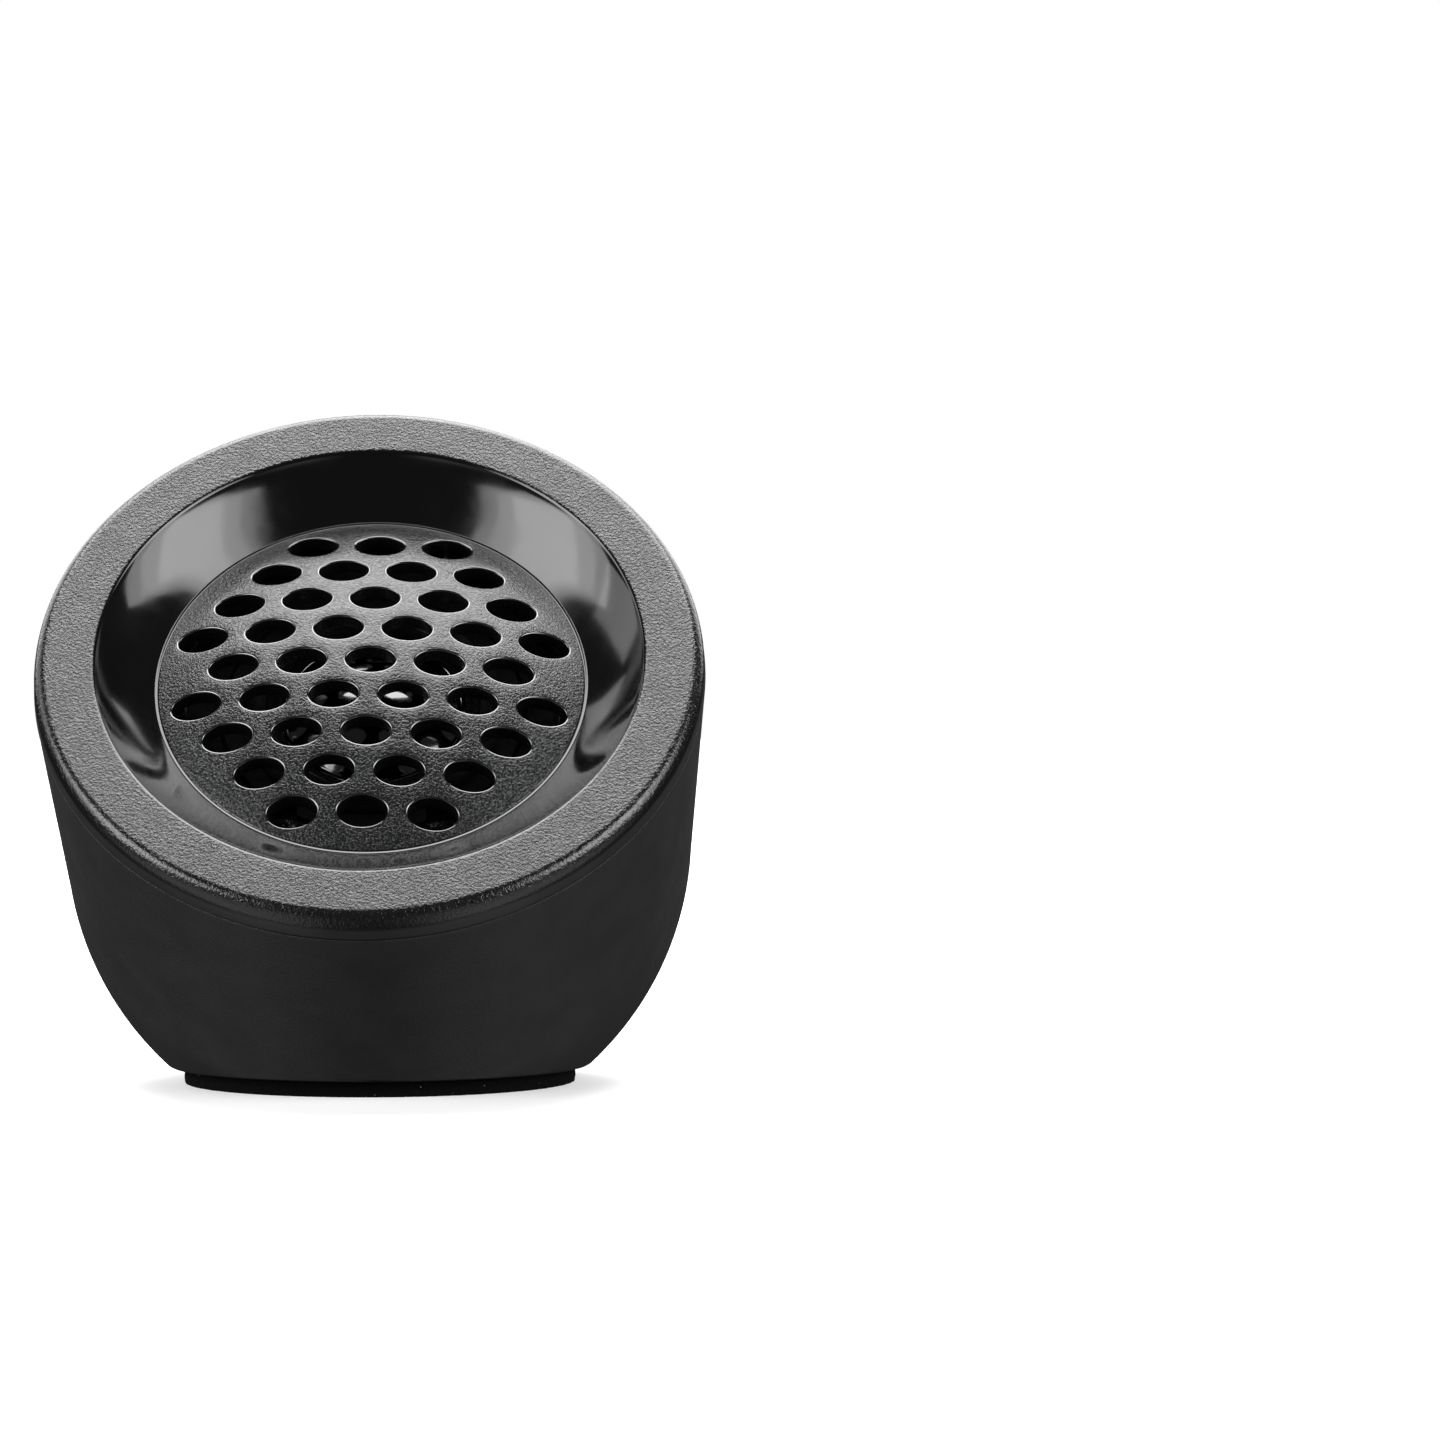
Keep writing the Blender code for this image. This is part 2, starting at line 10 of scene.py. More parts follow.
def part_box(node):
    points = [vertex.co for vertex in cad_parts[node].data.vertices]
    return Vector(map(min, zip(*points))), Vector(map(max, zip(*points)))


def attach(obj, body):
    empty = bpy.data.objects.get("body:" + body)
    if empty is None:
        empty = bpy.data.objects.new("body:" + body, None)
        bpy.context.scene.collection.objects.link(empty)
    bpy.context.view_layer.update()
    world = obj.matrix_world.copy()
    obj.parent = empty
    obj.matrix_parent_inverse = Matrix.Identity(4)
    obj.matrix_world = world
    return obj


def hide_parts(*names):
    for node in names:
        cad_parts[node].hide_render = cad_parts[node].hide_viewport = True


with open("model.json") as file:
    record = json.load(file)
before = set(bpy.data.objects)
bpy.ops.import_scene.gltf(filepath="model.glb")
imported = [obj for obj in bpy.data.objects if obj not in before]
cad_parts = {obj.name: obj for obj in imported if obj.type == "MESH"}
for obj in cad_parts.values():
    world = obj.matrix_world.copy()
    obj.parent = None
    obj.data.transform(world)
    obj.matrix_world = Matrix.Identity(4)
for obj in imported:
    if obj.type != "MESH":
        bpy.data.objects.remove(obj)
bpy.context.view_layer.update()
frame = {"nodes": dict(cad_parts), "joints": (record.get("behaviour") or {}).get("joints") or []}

MM = 0.001
NODES = frame["nodes"]
JOINTS = {joint["name"]: joint for joint in frame["joints"]}

# The face plane's centre and its outward axis come from the twist joint; w is measured along that axis.
FACE_CENTRE = Vector(JOINTS["head_twist"]["pos_m"])
FACE_AXIS = Vector(JOINTS["head_twist"]["axis"]).normalized()
HEAD = Matrix.Translation(FACE_CENTRE) @ FACE_AXIS.to_track_quat("Z", "Y").to_matrix().to_4x4()
UP_SLOPE = FACE_AXIS.cross(Vector((1, 0, 0)))

FACE_RADIUS = (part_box("bezel_ring")[1][0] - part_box("bezel_ring")[0][0]) / 2
FOAM_RADIUS = (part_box("foam_pad")[1][0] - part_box("foam_pad")[0][0]) / 2
FOOT_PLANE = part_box("base_shell")[0][2]

# The pod: a ball behind the face, with a drafted wall from the ball to the seam.
BALL_DEPTH = 22.0 * MM
BALL_RADIUS = 24.35 * MM
BALL_CENTRE = FACE_CENTRE - FACE_AXIS * BALL_DEPTH
WALL = 1.8 * MM
FLOOR = 2.0 * MM        # thickness of the pod's floor
SEAM_W = -2.2 * MM
SEAM_GAP = 0.18 * MM


# ---- mesh helpers -------------------------------------------------------------------------------

def new_object(name, bm, matrix=Matrix.Identity(4), sharp=35.0):
    bmesh.ops.remove_doubles(bm, verts=bm.verts, dist=0.0005 * MM)
    bmesh.ops.recalc_face_normals(bm, faces=bm.faces)
    mesh = bpy.data.meshes.new(name)
    bm.to_mesh(mesh)
    bm.free()
    obj = bpy.data.objects.new(name, mesh)
    bpy.context.scene.collection.objects.link(obj)
    obj.matrix_world = matrix
    smooth(obj, sharp)
    return obj


def smooth(obj, sharp=35.0):
    obj.data.shade_smooth()
    obj.data.set_sharp_from_angle(angle=math.radians(sharp))


def bridge(bm, lower, upper):
    """Quads between two closed rings of the same length, or triangles to a single point."""
    count = max(len(lower), len(upper))
    for i in range(count):
        j = (i + 1) % count
        ring = [lower[i % len(lower)], lower[j % len(lower)], upper[j % len(upper)], upper[i % len(upper)]]
        corners = list(dict.fromkeys(ring))
        bm.faces.new(corners)


def ring_of(bm, radius, w, steps):
    if radius < 1e-9:
        return [bm.verts.new((0.0, 0.0, w))]
    return [bm.verts.new((radius * math.cos(math.tau * i / steps), radius * math.sin(math.tau * i / steps), w))
            for i in range(steps)]


def lathe(name, profile, steps=192, matrix=HEAD, sharp=35.0):
    """Turn (radius, w) points about Z; a profile that starts off the axis is a closed ring."""
    bm = bmesh.new()
    rings = [ring_of(bm, radius, w, steps) for radius, w in profile]
    for lower, upper in zip(rings, rings[1:]):
        bridge(bm, lower, upper)
    if profile[0][0] > 1e-9:
        bridge(bm, rings[-1], rings[0])
    return new_object(name, bm, matrix, sharp)


def arc(centre, radius, start, end, count):
    """Points on an arc in the profile plane; angles in degrees from the outward radius."""
    angles = [math.radians(start + (end - start) * i / count) for i in range(count + 1)]
    return [(centre[0] + radius * math.cos(a), centre[1] + radius * math.sin(a)) for a in angles]


def rounded(points, radius, count=4, closed=True):
    """Round every corner of a profile with a small arc-like curve."""
    out = []
    total = len(points)
    for i, point in enumerate(points):
        if not closed and i in (0, total - 1):
            out.append(point)
            continue
        here, before, after = Vector(point), Vector(points[i - 1]), Vector(points[(i + 1) % total])
        reach = min(radius, 0.45 * (before - here).length, 0.45 * (after - here).length)
        a = here + (before - here).normalized() * reach
        b = here + (after - here).normalized() * reach
        for k in range(count + 1):
            t = k / count
            out.append(tuple(a * (1 - t) ** 2 + here * 2 * t * (1 - t) + b * t ** 2))
    return out


def boolean(obj, operation, build, matrix=HEAD):
    """Cut or join one temporary tool, filled by build(bm), and keep only the result."""
    bm = bmesh.new()
    build(bm)
    mesh = bpy.data.meshes.new("tool")
    bm.to_mesh(mesh)
    bm.free()
    tool = bpy.data.objects.new("tool", mesh)
    bpy.context.scene.collection.objects.link(tool)
    tool.matrix_world = matrix
    modifier = obj.modifiers.new("cut", "BOOLEAN")
    modifier.operation = operation
    modifier.object = tool
    bpy.context.view_layer.update()
    result = bpy.data.meshes.new_from_object(obj.evaluated_get(bpy.context.evaluated_depsgraph_get()))
    obj.modifiers.clear()
    obj.data = result
    result.name = obj.name
    bpy.data.objects.remove(tool)


def add_box(bm, centre, size, turn=0.0):
    matrix = Matrix.Rotation(turn, 4, "Z") @ Matrix.Translation(centre) @ Matrix.Diagonal((*size, 1.0))
    bmesh.ops.create_cube(bm, size=1.0, matrix=matrix)


def add_cylinder(bm, centre, radius, depth, segments=48, turn=0.0):
    matrix = Matrix.Rotation(turn, 4, "Z") @ Matrix.Translation(centre)
    bmesh.ops.create_cone(bm, cap_ends=True, segments=segments, radius1=radius, radius2=radius, depth=depth,
                          matrix=matrix)


def third_turns(first):
    return [math.radians(first + 120 * i) for i in range(3)]


# ---- materials ----------------------------------------------------------------------------------

class Nodes:
    """A Principled material with a short way to add and link nodes; heights and lengths are in metres."""

    def __init__(self, name, colour, roughness, metallic=0.0, **sockets):
        self.material = bpy.data.materials.new(name)
        self.material.use_nodes = True
        self.tree = self.material.node_tree
        self.shader = self.tree.nodes["Principled BSDF"]
        self.shader.inputs["Base Color"].default_value = (*colour, 1.0)
        self.shader.inputs["Roughness"].default_value = roughness
        self.shader.inputs["Metallic"].default_value = metallic
        for socket, value in sockets.items():
            self.shader.inputs[socket.replace("_", " ")].default_value = value
        self.coords = self.add("ShaderNodeTexCoord").outputs["Object"]

    def add(self, kind, **values):
        node = self.tree.nodes.new(kind)
        for key, value in values.items():
            if hasattr(node, key):
                setattr(node, key, value)
            else:
                node.inputs[key].default_value = value
        return node

    def link(self, source, target):
        self.tree.links.new(source, target)

    def noise(self, scale, detail=2.0, roughness=0.5, distortion=0.0):
        node = self.add("ShaderNodeTexNoise", Scale=scale, Detail=detail, Roughness=roughness,
                        Distortion=distortion)
        self.link(self.coords, node.inputs["Vector"])
        return node.outputs["Fac"]

    def cells(self, scale):
        node = self.add("ShaderNodeTexVoronoi", feature="F1", Scale=scale)
        self.link(self.coords, node.inputs["Vector"])
        return node.outputs["Distance"]

    def math(self, operation, *values):
        node = self.add("ShaderNodeMath", operation=operation)
        for socket, value in zip(node.inputs, values):
            if isinstance(value, (int, float)):
                socket.default_value = value
            else:
                self.link(value, socket)
        return node.outputs[0]

    def span(self, value, low, high, to_low=0.0, to_high=1.0):
        """Smooth step from to_low at low to to_high at high."""
        node = self.add("ShaderNodeMapRange", interpolation_type="SMOOTHSTEP")
        self.link(value, node.inputs["Value"])
        for socket, number in zip(("From Min", "From Max", "To Min", "To Max"), (low, high, to_low, to_high)):
            node.inputs[socket].default_value = number
        return node.outputs["Result"]

    def mix(self, factor, a, b):
        """Blend two colours, each a tuple or another node's output."""
        node = self.add("ShaderNodeMix", data_type="RGBA")
        self.link(factor, node.inputs["Factor"])
        for socket, colour in zip((node.inputs[6], node.inputs[7]), (a, b)):
            if isinstance(colour, tuple):
                socket.default_value = (*colour, 1.0)
            else:
                self.link(colour, socket)
        return node.outputs[2]

    def bump(self, height, distance, strength=1.0, normal=None):
        node = self.add("ShaderNodeBump", Strength=strength, Distance=distance)
        self.link(height, node.inputs["Height"])
        if normal:
            self.link(normal, node.inputs["Normal"])
        return node.outputs["Normal"]

    def radius(self):
        """Distance from the object's own Z axis, in metres."""
        split = self.add("ShaderNodeSeparateXYZ")
        self.link(self.coords, split.inputs[0])
        squares = [self.math("MULTIPLY", split.outputs[i], split.outputs[i]) for i in (0, 1)]
        return self.math("SQRT", self.math("ADD", *squares))

    def to(self, socket, source):
        self.link(source, self.shader.inputs[socket])


BOWL_BLACK = (0.0009, 0.0009, 0.00095)
FACE_BLACK = (0.0065, 0.0065, 0.0067)
SIDE_BLACK = (0.021, 0.021, 0.0213)


def grain_height(nodes, size):
    """Spark-eroded grain: round bumps and short ridges of about the given size."""
    ridges = nodes.noise(0.75 / size, 1.0, 0.6, 0.6)
    fine = nodes.noise(1.9 / size, 1.0, 0.5)
    return nodes.math("ADD", nodes.span(ridges, 0.34, 0.66), nodes.math("MULTIPLY", fine, 0.4))


def bezel_material():
    """Grained face and edge, with a polished bowl inside the lip and the pod's finish above the seam."""
    nodes = Nodes("bezel_moulding", FACE_BLACK, 0.42)
    split = nodes.add("ShaderNodeSeparateXYZ")
    nodes.link(nodes.coords, split.inputs[0])
    w = split.outputs[2]
    radius = nodes.radius()

    # Masks: outside the lip, on the rounded outer edge, above the side band, and on the side band.
    outside = nodes.span(radius, 20.4 * MM, 20.75 * MM)
    edge = nodes.span(radius, 23.8 * MM, 24.15 * MM)
    above_side = nodes.span(w, -1.5 * MM, -0.8 * MM)
    side = nodes.math("MULTIPLY", nodes.span(w, -1.5 * MM, -0.9 * MM, 1.0, 0.0),
                      nodes.span(radius, 24.0 * MM, 24.3 * MM))

    depth = nodes.math("MULTIPLY", nodes.span(edge, 0.0, 1.0, 1.0, 0.4), above_side)
    grain = nodes.math("MULTIPLY", grain_height(nodes, 0.17 * MM), nodes.math("MULTIPLY", outside, depth))
    waves = nodes.math("MULTIPLY", nodes.noise(190.0, 1.0, 0.4), nodes.math("SUBTRACT", 1.0, outside))
    nodes.to("Normal", nodes.bump(grain, 0.03 * MM, 1.0, nodes.bump(waves, 0.07 * MM)))

    grained = nodes.math("MULTIPLY", outside, nodes.span(edge, 0.0, 1.0, 1.0, 0.35))
    grained = nodes.math("MAXIMUM", grained, side)
    cloud = nodes.noise(420.0, 3.0)
    polished = nodes.span(cloud, 0.3, 0.7, 0.09, 0.14)
    rough = nodes.span(cloud, 0.3, 0.7, 0.34, 0.42)
    blend = nodes.add("ShaderNodeMix", data_type="FLOAT")
    for socket, value in zip((blend.inputs[0], blend.inputs[2], blend.inputs[3]), (grained, polished, rough)):
        nodes.link(value, socket)
    nodes.to("Roughness", blend.outputs[0])
    nodes.to("Base Color", nodes.mix(side, nodes.mix(grained, BOWL_BLACK, FACE_BLACK), SIDE_BLACK))
    return nodes.material


def grille_material():
    """Finer grain than the bezel's on the disc, and a polished rim."""
    nodes = Nodes("grille_moulding", (0.0035, 0.0035, 0.0036), 0.34)
    face = nodes.span(nodes.radius(), 15.85 * MM, 15.95 * MM, 1.0, 0.0)
    grain = nodes.math("MULTIPLY", grain_height(nodes, 0.14 * MM), face)
    nodes.to("Normal", nodes.bump(grain, 0.018 * MM))
    rough = nodes.span(nodes.noise(500.0, 3.0), 0.3, 0.7, 0.25, 0.27)
    nodes.to("Roughness", nodes.math("MULTIPLY", rough, nodes.span(face, 0.0, 1.0, 0.5, 1.0)))
    nodes.to("Base Color", nodes.mix(nodes.noise(700.0, 2.0), (0.0018, 0.0018, 0.0019), (0.003, 0.003, 0.0031)))
    return nodes.material


def shell_material():
    """Nearly smooth black moulding with a very shallow grain."""
    nodes = Nodes("pod_moulding", (0.007, 0.007, 0.0072), 0.4, Specular_IOR_Level=0.5)
    nodes.to("Normal", nodes.bump(grain_height(nodes, 0.13 * MM), 0.007 * MM))
    nodes.to("Roughness", nodes.span(nodes.noise(300.0, 3.0), 0.3, 0.7, 0.34, 0.42))
    nodes.to("Base Color", nodes.mix(nodes.noise(260.0, 3.0), (0.0205, 0.0205, 0.0208), (0.025, 0.025, 0.0253)))
    return nodes.material


def foam_material():
    """Closed-cell foam with a few bright specks of dust."""
    nodes = Nodes("foam_cells", (0.0012, 0.0012, 0.0012), 0.95, Specular_IOR_Level=0.08)
    cells = nodes.cells(4200.0)
    specks = nodes.span(nodes.cells(1500.0), 0.05, 0.10, 1.0, 0.0)
    sparse = nodes.span(nodes.noise(900.0, 1.0), 0.54, 0.60)
    speck = nodes.math("MULTIPLY", specks, sparse)
    nodes.to("Base Color", nodes.mix(speck, (0.0012, 0.0012, 0.0012), (0.2, 0.2, 0.195)))
    nodes.to("Normal", nodes.bump(cells, 0.08 * MM))
    return nodes.material


def film_material(name, colour, roughness, metallic=0.0, **sockets):
    """Smooth, glossy surface with faint unevenness."""
    nodes = Nodes(name, colour, roughness, metallic, Specular_IOR_Level=0.5, **sockets)
    nodes.to("Normal", nodes.bump(nodes.noise(700.0, 2.0), 0.01 * MM, 0.5))
    nodes.to("Roughness", nodes.span(nodes.noise(900.0), 0.3, 0.7, roughness * 0.8, roughness * 1.3))
    return nodes.material


def matt_material(name, shiny_radius):
    """Matt black moulding or cloth with one narrow shiny bead at the given radius."""
    nodes = Nodes(name, (0.002, 0.002, 0.002), 0.75, Specular_IOR_Level=0.1)
    off_bead = nodes.math("ABSOLUTE", nodes.math("SUBTRACT", nodes.radius(), shiny_radius))
    nodes.to("Roughness", nodes.span(off_bead, 0.1 * MM, 0.18 * MM, 0.2, 0.8))
    nodes.to("Normal", nodes.bump(nodes.noise(3000.0, 3.0), 0.01 * MM))
    nodes.to("Base Color", nodes.mix(nodes.noise(400.0, 3.0), (0.0015, 0.0015, 0.0015), (0.003, 0.003, 0.003)))
    return nodes.material


def plain_material(name, colour, roughness, metallic=0.0, grain=0.3, depth=0.01):
    """Small-part material: grain and depth in millimetres, and uneven roughness over one colour."""
    nodes = Nodes(name, colour, roughness, metallic)
    nodes.to("Normal", nodes.bump(nodes.noise(1.0 / (grain * MM), 3.0), depth * MM))
    nodes.to("Roughness", nodes.span(nodes.noise(600.0, 3.0), 0.3, 0.7,
                                     roughness * 0.75, min(1.0, roughness * 1.25)))
    dark = tuple(c * 0.82 for c in colour)
    nodes.to("Base Color", nodes.mix(nodes.noise(350.0, 3.0), dark, colour))
    return nodes.material


# ---- pieces -------------------------------------------------------------------------------------

LUG_TURNS = third_turns(90)
BOSS_TURNS = third_turns(30)
BOSS_PITCH = 18.5 * MM
BOSS_RADIUS = 1.3 * MM
PILOT_RADIUS = 0.85 * MM
SKIRT_RADIUS = 21.6 * MM
SKIRT_INNER = 20.2 * MM
SKIRT_END = -8.5 * MM
LUG_SIZE = (1.8 * MM, 6 * MM, 1.5 * MM)
LUG_W = -7.45 * MM

LIP_RADIUS = 20.25 * MM
LIP_ROUND = 0.5 * MM
LIP_TURN = 60           # degrees that the lip turns before the bowl goes on
EDGE_RADIUS = 24.9 * MM
EDGE_ROUNDS = (0.8 * MM, 1.35 * MM)     # the face rolls off tightly, then runs down to the side
EDGE_SPLIT = 50
RIM_W = -3.7 * MM
LEDGE_W = -4.7 * MM
VISIBLE_BORE = 16.215 * MM
BOWL_W = RIM_W + 0.1 * MM
BOWL_SAG = 0.2          # how much the bowl's slope differs from an even one
BOWL_STEPS = 24


def edge_profile():
    """The ring's outer edge from its face to its side: two arcs that meet at EDGE_SPLIT degrees."""
    tight, wide = EDGE_ROUNDS
    split = math.radians(EDGE_SPLIT)
    offset = Vector((math.cos(split), math.sin(split))) * (wide - tight)
    centre = Vector((EDGE_RADIUS - wide + offset.x, -tight))
    return arc(centre, tight, 90, EDGE_SPLIT, 8)[:-1] + arc(centre - offset, wide, EDGE_SPLIT, 0, 12)


def bowl_profile(low, high):
    """Points between the bore and the lip, steeper towards the lip."""
    points = []
    for i in range(1, BOWL_STEPS):
        t = i / BOWL_STEPS
        points.append((low[0] + (high[0] - low[0]) * t,
                       low[1] + (high[1] - low[1]) * (t + BOWL_SAG * (t ** 3 - t))))
    return points


def make_bezel():
    """One moulding: round lip, flat grained face, rounded edge, skirt, and the glossy bowl."""
    lip = arc((LIP_RADIUS + 0.9 * LIP_ROUND, -LIP_ROUND), LIP_ROUND, 90 + LIP_TURN, 90, 8)
    flat = [(radius * MM, 0.0) for radius in (21.4, 22.2, 23.0, 23.6)]
    edge = edge_profile()
    inside = [(FACE_RADIUS, SEAM_W), (SKIRT_RADIUS, SEAM_W), (SKIRT_RADIUS, SKIRT_END),
              (SKIRT_INNER, SKIRT_END), (SKIRT_INNER, -2.1 * MM), (17.9 * MM, -4.2 * MM), (17.9 * MM, LEDGE_W),
              (VISIBLE_BORE, LEDGE_W), (VISIBLE_BORE, BOWL_W)]
    inner = rounded([edge[-1]] + inside, 0.03 * MM, 3, closed=False)
    bezel = lathe("bezel", lip + flat + edge[:-1] + inner + bowl_profile(inside[-1], lip[0]), 288, sharp=50)

    def additions(bm):
        for angle in BOSS_TURNS:
            add_cylinder(bm, Vector((BOSS_PITCH, 0, -4.9 * MM)), BOSS_RADIUS, 3.4 * MM, 32, angle)
        for angle in LUG_TURNS:
            add_box(bm, Vector((SKIRT_RADIUS, 0, LUG_W)), LUG_SIZE, angle)

    def pilots(bm):
        for angle in BOSS_TURNS:
            add_cylinder(bm, Vector((BOSS_PITCH, 0, -6.0 * MM)), PILOT_RADIUS, 4 * MM, 24, angle)

    boolean(bezel, "UNION", additions)
    boolean(bezel, "DIFFERENCE", pilots)
    smooth(bezel, 50)
    bezel.data.materials.append(bezel_material())
    bezel.data.materials.append(matt_material("bezel_bore", 0.0))
    for polygon in bezel.data.polygons:
        if polygon.center.xy.length < VISIBLE_BORE + 0.01 * MM:
            polygon.material_index = 1
    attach(bezel, "head")
    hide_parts("bezel_ring")


# The grille's sizes are in millimetres, because its flat triangulation is made at that scale.
GRILLE_RADIUS = 16.2
GRILLE_RISE = 2.9
GRILLE_WALL = 1.2
GRILLE_INNER = 15.0
FLANGE_RADIUS = 16.95
FLANGE_TOP = -5.0
FLANGE_END = -5.6
HOLE_PITCH = 5.14
HOLE_ROW_PITCH = 3.23
HOLE_ROWS = (3, 4, 5, 6, 5, 6, 5, 4, 3)
HOLE_HALF = (1.85, 1.2)
HOLE_ROUND = 0.14
HOLE_STEPS = 40
CLOCKING = math.radians(-1.2)
CURVE_RADIUS = (GRILLE_RADIUS ** 2 + GRILLE_RISE ** 2) / (2 * GRILLE_RISE)
APEX = RIM_W / MM + GRILLE_RISE


def hole_centres():
    turn = Matrix.Rotation(CLOCKING, 2)
    for row, count in enumerate(HOLE_ROWS):
        for i in range(count):
            yield turn @ Vector(((i - (count - 1) / 2) * HOLE_PITCH,
                                 (row - (len(HOLE_ROWS) - 1) / 2) * HOLE_ROW_PITCH))


def oval(centre, grow):
    """Ring of points round a hole, outside its edge by grow."""
    turn = Matrix.Rotation(CLOCKING, 2)
    for i in range(HOLE_STEPS):
        angle = math.tau * i / HOLE_STEPS
        yield centre + turn @ Vector(((HOLE_HALF[0] + grow) * math.cos(angle),
                                      (HOLE_HALF[1] + grow) * math.sin(angle)))


def near_hole(point, centres, clear):
    """Whether a point is in a hole or nearer to its edge than clear."""
    for centre in centres:
        local = Matrix.Rotation(-CLOCKING, 2) @ (point - centre)
        if (local.x / (HOLE_HALF[0] + clear)) ** 2 + (local.y / (HOLE_HALF[1] + clear)) ** 2 < 1:
            return True
    return False


def perforated_disc(radius, offsets, rounding, spacing, steps):
    """Even triangulation of a disc with the oval holes left open.

    Each hole gets one ring of points for each offset from its edge, lowered by a round of the given size.
    Returns the points, the faces, each point's drop, the innermost ring of each hole, and the rim.
    """
    centres = list(hole_centres())
    points = [Vector((radius * math.cos(math.tau * i / steps), radius * math.sin(math.tau * i / steps)))
              for i in range(steps)]
    edges = [(i, (i + 1) % steps) for i in range(steps)]
    drops = [0.0] * steps
    starts = []
    for centre in centres:
        starts.append(len(points))
        for offset in offsets:
            start = len(points)
            points += oval(centre, offset)
            inward = max(rounding - offset, 0.0)
            drops += [rounding - math.sqrt(rounding ** 2 - inward ** 2)] * HOLE_STEPS
            edges += [(start + i, start + (i + 1) % HOLE_STEPS) for i in range(HOLE_STEPS)]

    row_pitch = spacing * 0.866
    clear = offsets[-1] + 0.6 * spacing
    rows = int(radius / row_pitch) + 1
    for row in range(-rows, rows + 1):
        for column in range(-rows, rows + 1):
            point = Vector(((column + 0.5 * (row % 2)) * spacing, row * row_pitch))
            if point.length <= radius - 0.5 * spacing and not near_hole(point, centres, clear):
                points.append(point)
                drops.append(0.0)

    result = geometry.delaunay_2d_cdt(points, edges, [], 0, 1e-6)
    verts, faces, origins = result[0], result[2], result[3]
    back = {source: index for index, sources in enumerate(origins) for source in sources}
    drop = [max((drops[source] for source in sources), default=0.0) for sources in origins]
    hole_rings = [[back[start + i] for i in range(HOLE_STEPS)] for start in starts]
    owner = {index: number for number, ring in enumerate(hole_rings) for index in ring}
    # A face whose corners all lie on one hole's innermost ring fills that hole.
    kept = [face for face in faces
            if any(i not in owner for i in face) or len({owner[i] for i in face}) > 1]
    return verts, kept, drop, hole_rings, [back[i] for i in range(steps)]


def cap(radius, curve, apex):
    """Height at a radius on a ball of radius curve whose top is at apex."""
    return apex - curve + math.sqrt(max(curve ** 2 - radius ** 2, 0.0))


def make_grille():
    """Convex disc with rounded oval holes through it, a slightly raised rim and a flange behind."""
    steps = 240
    bm = bmesh.new()

    def layer(radius, offsets, rounding, spacing, curve, apex):
        """One curved skin with the holes in it: its vertices, the hole rings and the rim's vertices."""
        verts, faces, drop, hole_rings, rim = perforated_disc(radius, offsets, rounding, spacing, steps)
        made = [bm.verts.new((p.x * MM, p.y * MM, (cap(p.length, curve, apex) - d) * MM))
                for p, d in zip(verts, drop)]
        for face in faces:
            made_face = bm.faces.new([made[i] for i in face])
            made_face.material_index = 1 if any(drop[i] > 0.0 for i in face) else 0
        return made, hole_rings, [made[i] for i in rim]

    front = layer(GRILLE_RADIUS - 0.25, (0.0, 0.012, 0.035, 0.08, HOLE_ROUND), HOLE_ROUND, 0.5,
                  CURVE_RADIUS, APEX)
    back = layer(GRILLE_INNER, (0.0, 0.3), 0.0, 0.9, CURVE_RADIUS - GRILLE_WALL, APEX - GRILLE_WALL)
    for top, bottom in zip(front[1], back[1]):
        bridge(bm, [front[0][i] for i in top], [back[0][i] for i in bottom])
    rim_w = RIM_W / MM
    upturn = [(GRILLE_RADIUS + r, rim_w + w) for r, w in
              ((-0.21, 0.075), (-0.16, 0.08), (-0.04, 0.125), (-0.01, 0.12), (0.0, 0.09))]
    flange = [(GRILLE_RADIUS, FLANGE_TOP), (FLANGE_RADIUS, FLANGE_TOP), (FLANGE_RADIUS, FLANGE_END),
              (GRILLE_INNER, FLANGE_END)]
    rings = [front[2]] + [ring_of(bm, r * MM, w * MM, steps) for r, w in upturn + flange] + [back[2]]
    for lower, upper in zip(rings, rings[1:]):
        bridge(bm, lower, upper)
    grille = new_object("grille_disc", bm, HEAD, 48)
    grille.data.materials.append(grille_material())
    grille.data.materials.append(film_material("grille_edges", (0.003, 0.003, 0.0031), 0.1, IOR=1.9))
    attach(grille, "head")
    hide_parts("grille")


# The wall widens by DRAFT per length; a little under the full draft keeps it inside the seam's radius.
DRAFT = (FACE_RADIUS - BALL_RADIUS) / (BALL_DEPTH + SEAM_W - 0.3 * MM) * 0.97
LOCK_RADIUS = 22.85 * MM
TAB_SIZE = (1.7 * MM, 6 * MM, 1.2 * MM)
STOP_SIZE = (1.7 * MM, 1 * MM, 1.5 * MM)
STOP_TURN = math.radians(9.8)
TAB_W = -5.8 * MM
GLAND_HOLE = 3.1 * MM


def reach(direction, inset):
    """Distance from the ball's centre to the pod's surface, moved in by inset."""
    along = direction.dot(FACE_AXIS)
    ball = BALL_RADIUS - inset
    if along <= 0.0:
        return ball
    return ball / (math.sqrt(1 - along ** 2) - DRAFT * along)


def foot_direction(angle, drop, inset):
    """Direction from the ball's centre to the edge where a level plane, drop below it, cuts the pod."""
    down = math.acos(drop / (BALL_RADIUS - inset))
    for _ in range(30):     # fixed-point iteration, settles long before
        out = math.sin(down)
        direction = Vector((out * math.cos(angle), out * math.sin(angle), -math.cos(down)))
        down = math.acos(min(1.0, drop / reach(direction, inset)))
    return direction


